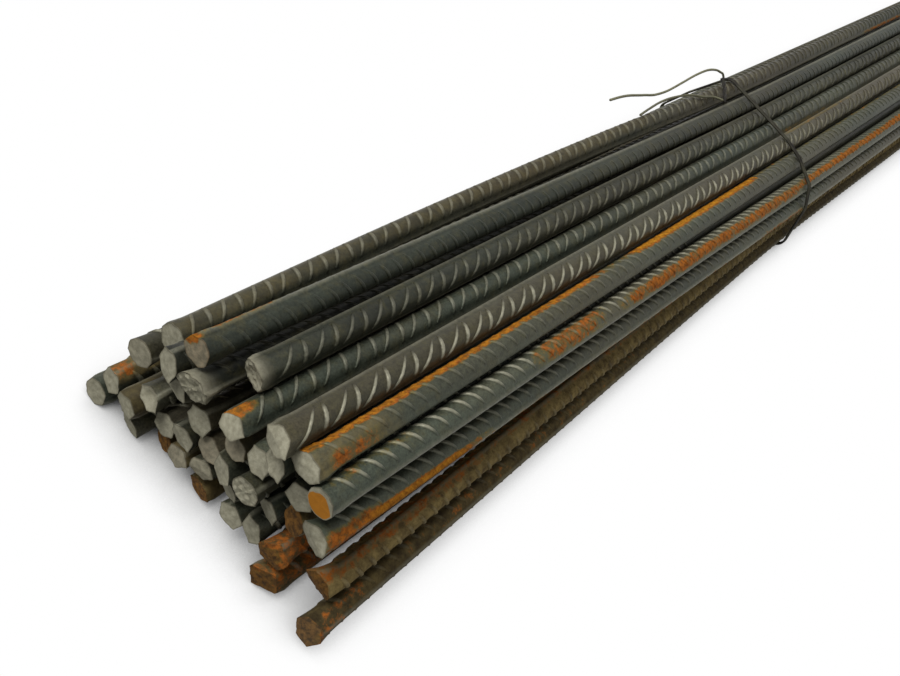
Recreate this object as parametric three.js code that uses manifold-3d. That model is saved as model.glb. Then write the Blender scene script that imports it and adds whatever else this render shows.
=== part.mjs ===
// Bundle of 12 mm ribbed reinforcing bars, cut to 2 m and held by two wire ties.
// Units are millimetres. +X runs along the bars, +Z is up, the bundle lies on z = 0.
// Every bar is one body: a straight-sided core with its two longitudinal ribs.
// The small slanted ribs on the bars are surface relief and aren't modelled here.
import * as THREE from "three";
import Module from "manifold-3d";

const wasm = await Module();
wasm.setup();

// ---------- driving dimensions ----------
const LENGTH = 2000;            // longest distance from end to end
const CORE_R = 6.09;            // corner radius of the bar's core, area as a 12 mm round bar
const RIB_R = 6.62;             // top of the two longitudinal ribs
const RIB_TOP_DEG = 7;          // half angle of a rib's top
const RIB_FOOT_DEG = 16;        // half angle of a rib's foot
const SIDE_POINTS = 3;          // core corners between the two ribs, each side
const CRUSHED_LENGTH = 11;      // the shear has flattened this much of a near end
const CRUSHED_SHARE = 0.8;      // thickness left between the blades
const PITCH = 13.32;            // least distance between two bars' centrelines
const TIE_X = 485;              // each tie sits this far from the middle
const WIRE_R = 0.8;             // 1.6 mm annealed tying wire
const WIRE_GAP = 0.35;          // clearance between wire and bars
const WIRE_SIDES = 6;
const TURN_STEP = 2.3;          // the wire's two turns lie this far apart
const TWIST_R = 0.9;            // radius of the twisted pair's helix
const TWIST_TURNS = 2;
const TWIST_STEPS = 10;
const FLAT_DEG = 18.5;          // roll that turns one flat of the core straight down
const SETTLE_STEPS = 900;       // rounds of pushing the bars apart
const SAG = 3.2;                // the lowest bars sag this much at most between the ties

// half the angle between two core corners, and so the distance to a flat
const CORNER_STEP = (180 - 2 * RIB_FOOT_DEG) / (SIDE_POINTS + 1);
const FLAT_R = CORE_R * Math.cos((CORNER_STEP / 2) * Math.PI / 180);

// Stations along the bundle where each bar's centreline is set.
const STATIONS = [-1000, -840, -665, -TIE_X, -200, 200, TIE_X, 730, 1000];
const NEAR = 0, TIE_A = 3, MID_A = 4, MID_B = 5, TIE_B = 6, FAR = STATIONS.length - 1;

// ---------- the bars ----------
// at: centre of the near end (y, z); back: how far that end is set back;
// roll: turn of the ribs about the bar; cut: slant of the sheared end (about y, about z);
// blade: the line of the shear's blades across the end, in degrees from +Y towards +Z;
// tie: where the bar passes under the near tie, given for the bars on the outside.
const BARS = {
  // lying on the floor, left to right
  floor_1: { at: [63, 6], back: 7, roll: 18, cut: [0.10, -0.12], blade: 50 },
  floor_2: { at: [42, 6], back: 9, roll: 70, cut: [-0.15, 0.10], blade: 20 },
  floor_3: { at: [29, 8], back: 16, roll: 40, cut: [0.05, 0.22], blade: 20 },
  floor_4: { at: [17, 15], back: 11, roll: 115, cut: [0.18, 0.08], blade: 175 },
  floor_5: { at: [3, 7], back: 14, roll: FLAT_DEG, cut: [-0.08, 0.16], blade: 0 },
  floor_6: { at: [-16, 15], back: 12, roll: 60, cut: [0.12, -0.10], blade: 21 },
  floor_7: { at: [-45, 9], back: 9, roll: 25, cut: [-0.05, -0.28], blade: 15 },
  floor_8: { at: [-71, 11], back: 7, roll: 150, cut: [0.16, -0.05], blade: 60, tie: [-53.5, 8] },
  // second layer
  second_1: { at: [58, 19], back: 8, roll: 95, cut: [0.08, 0.12], blade: 45 },
  second_2: { at: [45, 19], back: 5, roll: 30, cut: [-0.10, 0.05], blade: 45 },
  second_3: { at: [29, 22], back: 12, roll: 135, cut: [0.20, -0.06], blade: 22 },
  second_4: { at: [5, 22], back: 11, roll: 80, cut: [0.04, -0.16], blade: 175 },
  second_5: { at: [-10, 28], back: 11, roll: 10, cut: [-0.18, 0.10], blade: 30 },
  second_6: { at: [-28, 23], back: 10, roll: 50, cut: [0.10, 0.06], blade: 44 },
  second_7: { at: [-41, 24], back: 8, roll: 100, cut: [0.02, -0.20], blade: 20 },
  second_8: { at: [-63, 25], back: 15, roll: 75, cut: [-0.12, 0.04], blade: 10, tie: [-51.5, 21] },
  // third layer
  third_1: { at: [38, 31], back: 8, roll: 120, cut: [0.25, 0.10], blade: 13 },
  third_2: { at: [18, 29], back: 9, roll: 65, cut: [-0.06, -0.12], blade: 40 },
  third_3: { at: [6, 35], back: 11, roll: 155, cut: [0.28, -0.04], blade: 24 },
  third_4: { at: [-6, 40], back: 6, roll: 35, cut: [0.06, 0.14], blade: 43 },
  third_5: { at: [-28, 37], back: 12, roll: 90, cut: [-0.14, 0.02], blade: 44 },
  third_6: { at: [-39, 44], back: 13, roll: 20, cut: [0.12, 0.18], blade: 44 },
  // fourth layer
  fourth_1: { at: [51, 46], back: 9, roll: 165, cut: [0.05, -0.06], blade: 10 },
  fourth_2: { at: [27, 53], back: 5, roll: 15, cut: [-0.20, 0.08], blade: 13 },
  fourth_3: { at: [14, 45], back: 9, roll: 105, cut: [0.14, -0.14], blade: 44 },
  fourth_4: { at: [-6, 54], back: 8, roll: 45, cut: [0.24, 0.05], blade: 7 },
  fourth_5: { at: [-20, 48], back: 3, roll: 130, cut: [-0.04, -0.10], blade: 50 },
  fourth_6: { at: [-37, 61], back: 10, roll: 5, cut: [0.10, -0.18], blade: 45 },
  fourth_7: { at: [-53, 58], back: 5, roll: 160, cut: [-0.08, 0.12], blade: 30, tie: [-47, 30.5] },
  // upper layer
  upper_1: { at: [44, 59], back: 15, roll: 175, cut: [0.02, 0.06], blade: 40, tie: [34.5, 63] },
  upper_2: { at: [32, 66], back: 1, roll: 85, cut: [0.16, 0.12], blade: 45 },
  upper_3: { at: [19, 67], back: 2, roll: 160, cut: [-0.22, -0.20], blade: 50 },
  upper_4: { at: [-2, 67], back: 4, roll: 176, cut: [0.30, 0.16], blade: 163, tie: [-3.5, 56] },
  upper_5: { at: [-17, 60], back: 7, roll: 12, cut: [0.22, -0.08], blade: 41 },
  upper_6: { at: [-24, 72], back: 4, roll: 98, cut: [0.18, 0.20], blade: 34 },
  upper_7: { at: [-46, 74], back: 6, roll: 165, cut: [0.04, 0.04], blade: 20, tie: [-39.5, 41.5] },
  // lying on top
  top_1: { at: [25, 80], back: 5, roll: 58, cut: [0.06, -0.08], blade: 45, tie: [22, 60] },
  top_2: { at: [8, 76], back: 20, roll: 30, cut: [-0.16, 0.18], blade: 30, tie: [10, 55] },
  top_3: { at: [-22, 85], back: 1, roll: 30, cut: [0.32, 0.20], blade: 7, tie: [-16.5, 53.5] },
  top_4: { at: [-34, 81], back: 7, roll: 168, cut: [0.14, 0.10], blade: 173, tie: [-28, 51] },
};
const NAMES = Object.keys(BARS);
const BAR_COUNT = NAMES.length;

const rad = deg => deg * Math.PI / 180;

// Outline of one bar: two longitudinal ribs and the core's flats between them.
function barOutline() {
  const points = [];
  for (const side of [0, 180]) {
    points.push([side - RIB_TOP_DEG, RIB_R], [side + RIB_TOP_DEG, RIB_R], [side + RIB_FOOT_DEG, CORE_R]);
    for (let k = 1; k <= SIDE_POINTS; k++) {
      points.push([side + RIB_FOOT_DEG + k * CORNER_STEP, CORE_R]);
    }
    points.push([side + 180 - RIB_FOOT_DEG, CORE_R]);
  }
  return points;
}
const OUTLINE = barOutline();

// How far below its centre each bar reaches, at its own roll.
const REACH_DOWN = NAMES.map(name => {
  const depths = OUTLINE.map(([deg, r]) => -r * Math.sin(rad(deg + BARS[name].roll)));
  return Math.max(...depths);
});

// ---------- settling ----------
// A small repeatable random number in 0..1 for bar i, used for the far ends.
const scatter = (i, k) => {
  const wave = Math.sin(i * 12.9898 + k * 78.233) * 43758.5453;
  return wave - Math.floor(wave);
};

// Point at share u of the way from a to b.
const mix = (a, b, u) => a.map((v, k) => v + (b[k] - v) * u);

// Where the near-end heap is squeezed to under a tie.
const squeezed = ([y, z]) => [0.84 * y, FLAT_R + 2 + (z - 6) * 0.66];

// First guess of each bar's centre at every station.
function firstGuess() {
  return NAMES.map((name, i) => {
    const bar = BARS[name];
    const tie = bar.tie ?? squeezed(bar.at);
    const far = [tie[0] * 1.1 + (scatter(i, 1) - 0.5) * 10, tie[1] * 1.06 + scatter(i, 2) * 9];
    return STATIONS.map((x, s) => {
      const past = (Math.abs(x) - TIE_X) / (LENGTH / 2 - TIE_X);
      if (s < TIE_A) return mix(tie, bar.at, past);
      if (s > TIE_B) return mix(tie, far, past);
      return [...tie];
    });
  });
}

// Pushes two bars apart where their centrelines come too close between station s and the next.
function pushApart(a, b, s) {
  const [y0, z0] = [b[s][0] - a[s][0], b[s][1] - a[s][1]];
  const [y1, z1] = [b[s + 1][0] - a[s + 1][0], b[s + 1][1] - a[s + 1][1]];
  const square = (y1 - y0) ** 2 + (z1 - z0) ** 2;
  // share of the way from station s to the closest approach
  const nearest = -(y0 * (y1 - y0) + z0 * (z1 - z0)) / square;
  const t = square < 1e-9 ? 0 : Math.min(1, Math.max(0, nearest));
  const gap = mix([y0, z0], [y1, z1], t);
  const distance = Math.hypot(...gap);
  if (distance >= PITCH) return;
  const push = 0.5 * (PITCH - distance) / Math.max(distance, 0.01) / ((1 - t) ** 2 + t ** 2);
  for (const [end, share] of [[s, 1 - t], [s + 1, t]]) {
    for (const k of [0, 1]) {
      a[end][k] -= gap[k] * push * share;
      b[end][k] += gap[k] * push * share;
    }
  }
}

// Pushes overlapping bars apart, keeps them on the floor, keeps each bar smooth
// and pulls it gently towards its chosen place.
function settle() {
  const p = firstGuess();
  const goal = p.map(bar => bar.map(c => [...c]));
  // lowest height of a bar's centre: its own reach downwards, or a wire's thickness more at a tie
  const lowest = (b, s) => (s === TIE_A || s === TIE_B ? RIB_R + WIRE_GAP + 2 * WIRE_R : REACH_DOWN[b]);
  for (let step = 0; step < SETTLE_STEPS; step++) {
    const last = step > SETTLE_STEPS * 0.75;
    for (let b = 0; b < BAR_COUNT; b++) {
      const chosen = BARS[NAMES[b]].tie !== undefined;
      for (let s = 0; s <= FAR; s++) {
        const firm = s === NEAR ? 0.1 : s === TIE_A && chosen ? 0.08 : 0.004;
        const hold = last ? 0 : firm;
        for (let k = 0; k < 2; k++) p[b][s][k] += hold * (goal[b][s][k] - p[b][s][k]);
        if (!last && s > NEAR) p[b][s][1] -= 0.03;
      }
      // smoothing: each inner station moves towards the line through its neighbours
      for (let s = 1; s < FAR; s++) {
        const t = (STATIONS[s] - STATIONS[s - 1]) / (STATIONS[s + 1] - STATIONS[s - 1]);
        const stiff = last ? 0 : s === TIE_A || s === TIE_B ? 0.02 : 0.25;
        for (let k = 0; k < 2; k++) {
          const line = p[b][s - 1][k] * (1 - t) + p[b][s + 1][k] * t;
          p[b][s][k] += stiff * (line - p[b][s][k]);
        }
      }
    }
    for (let a = 0; a < BAR_COUNT; a++) {
      for (let b = a + 1; b < BAR_COUNT; b++) {
        for (let s = 0; s < FAR; s++) pushApart(p[a], p[b], s);
      }
    }
    for (let s = 0; s <= FAR; s++) {
      for (let b = 0; b < BAR_COUNT; b++) {
        p[b][s][1] = Math.max(p[b][s][1], lowest(b, s));
        // between the ties the lowest bars sag until they lie dead level on the floor
        if ((s === MID_A || s === MID_B) && p[b][s][1] < REACH_DOWN[b] + SAG) p[b][s][1] = REACH_DOWN[b];
      }
    }
  }
  return p;
}
const CENTRES = settle();

// ---------- geometry ----------
// Closed body through rings of points, each end capped by a fan from its ring's first point.
function skin(rings) {
  const n = rings[0].length, xyz = [], index = [];
  for (const ring of rings) for (const q of ring) xyz.push(...q);
  for (let r = 0; r + 1 < rings.length; r++) {
    for (let k = 0; k < n; k++) {
      const a = r * n + k, b = r * n + (k + 1) % n, c = a + n, d = b + n;
      index.push(a, b, d, a, d, c);
    }
  }
  for (let k = 1; k + 1 < n; k++) {
    index.push(0, k + 1, k);
    const e = (rings.length - 1) * n;
    index.push(e, e + k, e + k + 1);
  }
  const geometry = new THREE.BufferGeometry();
  geometry.setAttribute("position", new THREE.Float32BufferAttribute(xyz, 3));
  geometry.setIndex(index);
  return geometry;
}

// Section point (y, z) after the blades have pressed it flat across their line.
function crushed(y, z, blade) {
  const sine = Math.sin(rad(blade)), cosine = Math.cos(rad(blade));
  const loss = (1 - CRUSHED_SHARE) * (z * cosine - y * sine);
  return [y + loss * sine, z - loss * cosine];
}

// One bar: its outline carried along the settled centreline, with slanted sheared ends.
function barBody(i) {
  const { back, roll, cut, blade } = BARS[NAMES[i]];
  const farBack = 22 - back + (scatter(i, 3) - 0.5) * 8;
  const farCut = [(scatter(i, 4) - 0.5) * 0.4, (scatter(i, 5) - 0.5) * 0.4];
  const rings = STATIONS.map((x, s) => {
    const [cy, cz] = CENTRES[i][s];
    return OUTLINE.map(([deg, r]) => {
      const y = r * Math.cos(rad(deg + roll)), z = r * Math.sin(rad(deg + roll));
      let at = x;
      if (s === NEAR) at = x + back + cut[0] * z + cut[1] * y;
      if (s === FAR) at = x - Math.max(farBack, 2) + farCut[0] * z + farCut[1] * y;
      return [at, cy + y, cz + z];
    });
  });
  // the crushed length starts at a ring of its own, on the straight run to the next station
  const t = CRUSHED_LENGTH / (STATIONS[1] - STATIONS[0] - back);
  const shoulder = rings[NEAR].map((q, k) => q.map((v, axis) => v + t * (rings[1][k][axis] - v)));
  const [cy, cz] = CENTRES[i][NEAR];
  const end = rings[NEAR].map(([x, y, z]) => {
    const [dy, dz] = crushed(y - cy, z - cz, blade);
    return [x, cy + dy, cz + dz];
  });
  return skin([end, shoulder, ...rings.slice(1)]);
}

// Closed round tube along a line of points, its section carried along without twist.
function tube(path, radius) {
  const points = path.map(q => new THREE.Vector3(...q));
  const last = points.length - 1;
  const dir = points.map((_, k) => {
    const ahead = points[Math.min(k + 1, last)].clone();
    return ahead.sub(points[Math.max(k - 1, 0)]).normalize();
  });
  let side = new THREE.Vector3(1, 0, 0);
  if (Math.abs(side.dot(dir[0])) > 0.9) side.set(0, 1, 0);
  const rings = points.map((q, k) => {
    side = side.clone().addScaledVector(dir[k], -side.dot(dir[k])).normalize();
    const up = dir[k].clone().cross(side);
    return Array.from({ length: WIRE_SIDES }, (_, j) => {
      const a = 2 * Math.PI * j / WIRE_SIDES;
      const rim = q.clone().addScaledVector(side, radius * Math.cos(a));
      return rim.addScaledVector(up, radius * Math.sin(a)).toArray();
    });
  });
  return skin(rings);
}

// Joins closed geometries into one body.
function join(parts) {
  const solids = parts.map(g => new wasm.Manifold(new wasm.Mesh({
    numProp: 3,
    vertProperties: Float32Array.from(g.attributes.position.array),
    triVerts: Uint32Array.from(g.index.array),
  })));
  // pockets shut in between the strands are filled: only the outer skin is kept
  const shells = solids.reduce((a, b) => a.add(b)).decompose().sort((a, b) => b.volume() - a.volume());
  const mesh = shells[0].getMesh();
  const geometry = new THREE.BufferGeometry();
  geometry.setAttribute("position", new THREE.BufferAttribute(Float32Array.from(mesh.vertProperties), 3));
  geometry.setIndex(new THREE.BufferAttribute(Uint32Array.from(mesh.triVerts), 1));
  return geometry;
}

// The outermost bars at a station, anticlockwise: the convex hull of the bars' centres.
function outerBars(station) {
  const sorted = CENTRES.map(bar => bar[station]).sort((a, b) => a[0] - b[0] || a[1] - b[1]);
  const turn = (o, a, b) => (a[0] - o[0]) * (b[1] - o[1]) - (a[1] - o[1]) * (b[0] - o[0]);
  const half = list => {
    const chain = [];
    for (const q of list) {
      while (chain.length > 1 && turn(chain.at(-2), chain.at(-1), q) <= 0) chain.pop();
      chain.push(q);
    }
    return chain.slice(0, -1);
  };
  return [...half(sorted), ...half([...sorted].reverse())];
}

// Line around the outside of the bars at a tie, `away` from the outer bars' centres,
// as [y, z, angle] points running over the top towards -Y. Corners are rounded.
function girth(station, away) {
  const hull = outerBars(station);
  const line = [];
  hull.forEach((q, k) => {
    const before = hull[(k + hull.length - 1) % hull.length], after = hull[(k + 1) % hull.length];
    const a0 = Math.atan2(before[0] - q[0], q[1] - before[1]);
    const a1 = Math.atan2(q[0] - after[0], after[1] - q[1]);
    const sweep = ((a1 - a0) % (2 * Math.PI) + 2 * Math.PI) % (2 * Math.PI);
    const steps = Math.max(1, Math.ceil(sweep / rad(27)));
    for (let j = 0; j <= steps; j++) {
      const a = a0 + sweep * j / steps;
      line.push([q[0] + away * Math.cos(a), q[1] + away * Math.sin(a), a]);
    }
  });
  return line;
}

// The same line started next to the point (y, z), with the distance along it.
function girthFrom(station, away, start) {
  const line = girth(station, away);
  const gap = q => Math.hypot(q[0] - start[0], q[1] - start[1]);
  const first = line.reduce((best, q, k) => (gap(q) < gap(line[best]) ? k : best), 0);
  const round = [...line.slice(first), ...line.slice(0, first), line[first]];
  let run = 0;
  return round.map((q, k) => {
    if (k) run += Math.hypot(q[0] - round[k - 1][0], q[1] - round[k - 1][1]);
    return [q[0], q[1], run];
  });
}

// Point at a distance along such a line.
function along(line, run) {
  let k = 1;
  while (k < line.length - 1 && line[k][2] < run) k++;
  const t = (run - line[k - 1][2]) / Math.max(line[k][2] - line[k - 1][2], 1e-6);
  return mix(line[k - 1].slice(0, 2), line[k], t);
}

// Smooth line through a few chosen points.
function smooth(points, steps) {
  const curve = new THREE.CatmullRomCurve3(points.map(q => new THREE.Vector3(...q)), false, "centripetal");
  return curve.getPoints(steps).map(v => v.toArray());
}

// One wire tie: two turns round the bundle, a short twist laid over the bars, two loose tails.
function wireTie({ station, x, knot, lean, twistLength, tailFromKnot, tailFromTwist }) {
  const snug = girthFrom(station, RIB_R + WIRE_GAP + WIRE_R, knot);
  const length = snug[snug.length - 1][2];
  const turns = [];
  for (const turn of [0, 1]) {
    for (const [y, z, run] of snug) {
      if (turn === 1 && run === 0) continue;
      turns.push([x + TURN_STEP * (turn + run / length - 1), y, z]);
    }
  }
  const over = girthFrom(station, RIB_R + WIRE_GAP + 2 * WIRE_R + TWIST_R, knot);
  const strand = phase => Array.from({ length: TWIST_STEPS + 1 }, (_, k) => {
    const t = k / TWIST_STEPS, a = phase + t * TWIST_TURNS * 2 * Math.PI;
    const [y, z] = along(over, 0.5 + t * twistLength);
    const ahead = TWIST_R * Math.cos(a), up = TWIST_R * Math.sin(a);
    return [x + lean * t + ahead, y + 0.5 * up, z + 0.6 + up];
  });
  const one = strand(0), two = strand(Math.PI);
  const [ky, kz] = [snug[0][0], snug[0][1]];
  // the twist's feet reach down to both ends of the two turns
  one.unshift([x - TURN_STEP, ky, kz]);
  two.unshift([x + TURN_STEP, ky, kz]);
  const tailA = smooth([[x - 0.5 * TURN_STEP, ky, kz], ...tailFromKnot], 12);
  const tailB = smooth([one[one.length - 2], one[one.length - 1], ...tailFromTwist], 12);
  return join([turns, one, two, tailA, tailB].map(path => tube(path, WIRE_R)));
}

const upper = CENTRES[NAMES.indexOf("upper_1")];
const NEAR_TIE = {
  station: TIE_A, x: -TIE_X,
  knot: [upper[TIE_A][0] + 5, upper[TIE_A][1] + 6],
  lean: -26, twistLength: 17,
  tailFromKnot: [
    [-497, 45, 78], [-520, 45, 86], [-545, 46, 89], [-566, 48, 86], [-585, 51, 80], [-612, 53, 83], [-650, 55, 86],
  ],
  tailFromTwist: [[-530, 29, 77], [-556, 33, 80], [-580, 37, 81], [-602, 40, 79], [-618, 42, 74.5]],
};
const crown = CENTRES[NAMES.indexOf("top_2")];
const FAR_TIE = {
  station: TIE_B, x: TIE_X,
  knot: [crown[TIE_B][0], crown[TIE_B][1] + 8],
  lean: 14, twistLength: 15,
  tailFromKnot: [[490, 14, 74], [508, 20, 84], [535, 26, 85], [562, 30, 80]],
  tailFromTwist: [[509, -8, 77], [528, -14, 82], [552, -20, 80]],
};

// ---------- the bundle ----------
const STEEL = { color: 0x5d5d55, metalness: 0.7, roughness: 0.6 };
const WIRE = { color: 0x3a332c, metalness: 0.6, roughness: 0.7 };
const bundle = new THREE.Group();
bundle.name = "rebar_bundle";

function add(name, geometry, look) {
  const mesh = new THREE.Mesh(geometry, new THREE.MeshStandardMaterial({ name, ...look }));
  mesh.name = name;
  bundle.add(mesh);
}

NAMES.forEach((name, i) => add(`bar_${name}`, barBody(i), STEEL));
add("tie_near", wireTie(NEAR_TIE), WIRE);
add("tie_far", wireTie(FAR_TIE), WIRE);

// The origin is the middle of the bundle's base.
const box = new THREE.Box3().setFromObject(bundle);
const middle = box.getCenter(new THREE.Vector3());
for (const mesh of bundle.children) mesh.geometry.translate(-middle.x, -middle.y, -box.min.z);

export default bundle;
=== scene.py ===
# %% [markdown]
# # A tied bundle of ribbed reinforcing bars
# The bundle is forty steel bars, hot rolled with slanted ribs, sheared to length, left out in
# the rain and tied with two loops of soft wire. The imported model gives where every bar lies.
# This lesson dresses each bar: ribs, sheared ends, mill scale and rust.

import bpy
import numpy as np
from mathutils import Matrix, Vector


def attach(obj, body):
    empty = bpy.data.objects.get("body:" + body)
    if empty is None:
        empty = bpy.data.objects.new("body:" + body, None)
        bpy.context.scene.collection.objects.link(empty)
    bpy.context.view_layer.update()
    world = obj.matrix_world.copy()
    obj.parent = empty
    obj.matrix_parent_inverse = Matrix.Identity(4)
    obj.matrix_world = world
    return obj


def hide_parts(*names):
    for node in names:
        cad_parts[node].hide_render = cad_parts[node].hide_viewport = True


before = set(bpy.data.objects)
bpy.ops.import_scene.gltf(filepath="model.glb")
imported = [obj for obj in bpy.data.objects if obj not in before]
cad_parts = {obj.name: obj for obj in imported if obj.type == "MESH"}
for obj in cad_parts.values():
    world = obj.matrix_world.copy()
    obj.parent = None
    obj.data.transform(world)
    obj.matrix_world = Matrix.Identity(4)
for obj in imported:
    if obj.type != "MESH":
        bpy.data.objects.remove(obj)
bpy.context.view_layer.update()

MM = 0.001
BARS = sorted(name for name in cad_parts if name.startswith("bar_"))
print(len(BARS), "bars and", len(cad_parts) - len(BARS), "wire ties")

# %% [markdown]
# ## The camera
# The view looks down on the splayed ends from close by, and is turned about its own axis, so
# that the bars climb from the lower left to the upper right. A camera could be aimed with a
# Track To constraint, but a roll is easier to give as three directions: right, up and back.

# %% Camera
IMAGE_WIDTH = 900
FOCAL_PIXELS = 1073.7
SENSOR_MM = 36.0
CAMERA_AT = np.array([-1215.6, -112.5, 382.3]) * MM
LOOK = np.array([0.7150, 0.2107, -0.6666])
IMAGE_DOWN = np.array([-0.3593, -0.7072, -0.6089])


def make_camera():
    """Columns of the turn: right = down x look, up = -down, back = -look."""
    data = bpy.data.cameras.new("camera")
    data.sensor_width = SENSOR_MM
    data.sensor_fit = "HORIZONTAL"
    data.lens = FOCAL_PIXELS / IMAGE_WIDTH * SENSOR_MM
    data.clip_start, data.clip_end = 0.01, 50.0
    camera = bpy.data.objects.new("camera", data)
    look = LOOK / np.linalg.norm(LOOK)
    down = IMAGE_DOWN - look * (IMAGE_DOWN @ look)
    down = down / np.linalg.norm(down)
    right = np.cross(down, look)
    turn = np.stack([right, -down, -look], axis=1)
    camera.matrix_world = Matrix.Translation(Vector(CAMERA_AT)) @ Matrix(turn.tolist()).to_4x4()
    bpy.context.scene.collection.objects.link(camera)
    bpy.context.scene.camera = camera
    return camera


camera = make_camera()
print("lens", round(camera.data.lens, 2), "mm")

# %% [markdown]
# ## Where each bar lies
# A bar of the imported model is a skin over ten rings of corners. The middle of each ring is a
# point of the bar's centreline, and the corners that stand out farthest show how the bar is
# rolled. Between the rings the real bar bends gently, so the straight runs are rounded off
# with a moving average, which never leaves the corridor between its neighbours.

# %% Read one bar
RING_CORNERS = 14
MIDDLE_RING = 4
FARTHEST = 0.1 * MM        # corners this close to the farthest one tell how the bar is rolled


def read_bar(node):
    """Ring centres, roll of the lengthwise ribs and slant of both sheared ends.

    The node's mesh is loose triangles, so corners that agree to a micrometre are made one.
    centre = mean of a ring's corners; roll = half the angle of the sum of exp(2 i angle) over
    the farthest corners; slant = least squares of x against y and z over the end ring.
    """
    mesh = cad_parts[node].data
    corners = np.empty(len(mesh.vertices) * 3, np.float32)
    mesh.vertices.foreach_get("co", corners)
    corners = np.unique(np.round(corners.reshape(-1, 3), 6), axis=0)
    rings = corners[np.argsort(corners[:, 0])].reshape(-1, RING_CORNERS, 3)
    centres = rings.mean(axis=1)
    out = rings[MIDDLE_RING] - centres[MIDDLE_RING]
    reach = np.hypot(out[:, 1], out[:, 2])
    angle = np.arctan2(out[:, 2], out[:, 1])[reach > reach.max() - FARTHEST]
    roll = 0.5 * np.angle(np.exp(2j * angle).sum())
    slants = []
    for ring in (rings[0], rings[-1]):
        flat = ring - ring.mean(axis=0)
        slants.append(np.linalg.lstsq(flat[:, 1:], flat[:, 0], rcond=None)[0])
    return {"centres": centres, "roll": roll, "slants": slants}


bars = {name[4:]: read_bar(name) for name in BARS}
print(len(bars["top_1"]["centres"]), "rings to a bar")

# %% Centrelines
ROUND_OFF = 150 * MM       # length over which a bend is spread
LINE_STEP = 5 * MM
LINE_REACH = 1.3           # m each way, past both ends


def centreline(centres):
    """Function x -> (y, z): the mean of the straight runs over ROUND_OFF, with x its middle.

    It is a difference of the runs' integral, which the trapezium rule sums up.
    """
    s = np.arange(-LINE_REACH, LINE_REACH, LINE_STEP)
    first, last = centres[0], centres[-1]
    slope_a = (centres[1] - first)[1:] / (centres[1] - first)[0]
    slope_b = (last - centres[-2])[1:] / (last - centres[-2])[0]
    runs = np.stack([np.interp(s, centres[:, 0], centres[:, k]) for k in (1, 2)], axis=1)
    runs += np.minimum(s - first[0], 0)[:, None] * slope_a
    runs += np.maximum(s - last[0], 0)[:, None] * slope_b
    total = np.concatenate([[[0, 0]], np.cumsum((runs[1:] + runs[:-1]) * 0.5 * LINE_STEP, axis=0)])

    def at(x):
        upper = np.stack([np.interp(x + ROUND_OFF / 2, s, total[:, k]) for k in (0, 1)], axis=-1)
        lower = np.stack([np.interp(x - ROUND_OFF / 2, s, total[:, k]) for k in (0, 1)], axis=-1)
        return (upper - lower) / ROUND_OFF
    return at


for index, bar in enumerate(bars.values()):
    bar["index"] = index
    bar["at"] = centreline(bar["centres"])
    bar["first"], bar["last"] = bar["centres"][0, 0], bar["centres"][-1, 0]
longest = max(bar["last"] - bar["first"] for bar in bars.values())
print("the longest bar is", round(longest, 4), "m")

# %% [markdown]
# ## Putting arrays into a mesh
# Every surface below is worked out as whole arrays of points and faces. foreach_set copies
# them straight into the mesh, which is much faster than adding faces one at a time. Two colour
# attributes on the points carry what the finish needs to know about a place on the bar.

# %% Mesh helper
def build(name, points, faces, colours, material, rims=(), flat=()):
    """Mesh object from points (n, 3), faces [(m, 3 or 4), ...] and point colours {name: (n, 4)}.

    flat numbers the face arrays that keep their facets; the others are shaded smooth, apart
    from the edges between two points of rims.
    """
    mesh = bpy.data.meshes.new(name)
    sizes = np.concatenate([np.full(len(f), f.shape[1]) for f in faces])
    smooth = np.concatenate([np.full(len(f), k not in flat) for k, f in enumerate(faces)])
    corner = np.concatenate([f.ravel() for f in faces]).astype(np.int32)
    mesh.vertices.add(len(points))
    mesh.vertices.foreach_set("co", points.astype(np.float32).ravel())
    mesh.loops.add(len(corner))
    mesh.loops.foreach_set("vertex_index", corner)
    mesh.polygons.add(len(sizes))
    starts = np.concatenate([[0], np.cumsum(sizes)[:-1]])
    mesh.polygons.foreach_set("loop_start", starts.astype(np.int32))
    mesh.polygons.foreach_set("use_smooth", smooth)
    for key, values in colours.items():
        layer = mesh.color_attributes.new(key, "FLOAT_COLOR", "POINT")
        layer.data.foreach_set("color", values.astype(np.float32).ravel())
    mesh.update(calc_edges=True)
    if len(rims):
        pairs = np.empty(len(mesh.edges) * 2, np.int32)
        mesh.edges.foreach_get("vertices", pairs)
        sharp = np.isin(pairs.reshape(-1, 2), rims).all(axis=1)
        mesh.edges.foreach_set("use_edge_sharp", sharp)
    mesh.validate()
    mesh.materials.append(material)
    piece = bpy.data.objects.new(name, mesh)
    bpy.context.scene.collection.objects.link(piece)
    return piece


# %% Faces of a tube
def tube_faces(rows, columns):
    """Quads between ring r and ring r + 1 of a closed tube, columns points to a ring."""
    r, c = np.meshgrid(np.arange(rows - 1), np.arange(columns), indexing="ij")
    a, b = r * columns + c, r * columns + (c + 1) % columns
    return np.stack([a, b, b + columns, a + columns], axis=-1).reshape(-1, 4)


# %% [markdown]
# ## The bar's core
# A rolled bar is a round core with two ribs along its whole length, where the rolls meet. The
# core could be a Curve with a bevel, but the sheared ends need points of their own, so it is
# a tube of rings: close together at the ends, a thumb's width apart between them.

# %% Core outline
CORE_R = 5.65 * MM
SEAM_R = 6.60 * MM         # top of the two lengthwise ribs
SEAM_TOP, SEAM_FOOT = np.radians([6.5, 15.0])      # half angles of a rib's top and foot
FLANK_STEPS = 10


def outline():
    """Angle and radius round a bar: a seam rib at 0 and 180 degrees, flanks between them."""
    flank = np.linspace(SEAM_FOOT, np.pi - SEAM_FOOT, FLANK_STEPS + 1)
    angle = np.concatenate([[-SEAM_TOP, SEAM_TOP], flank])
    radius = np.concatenate([[SEAM_R, SEAM_R], np.full(len(flank), CORE_R)])
    return np.concatenate([angle, angle + np.pi]), np.concatenate([radius, radius])


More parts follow.
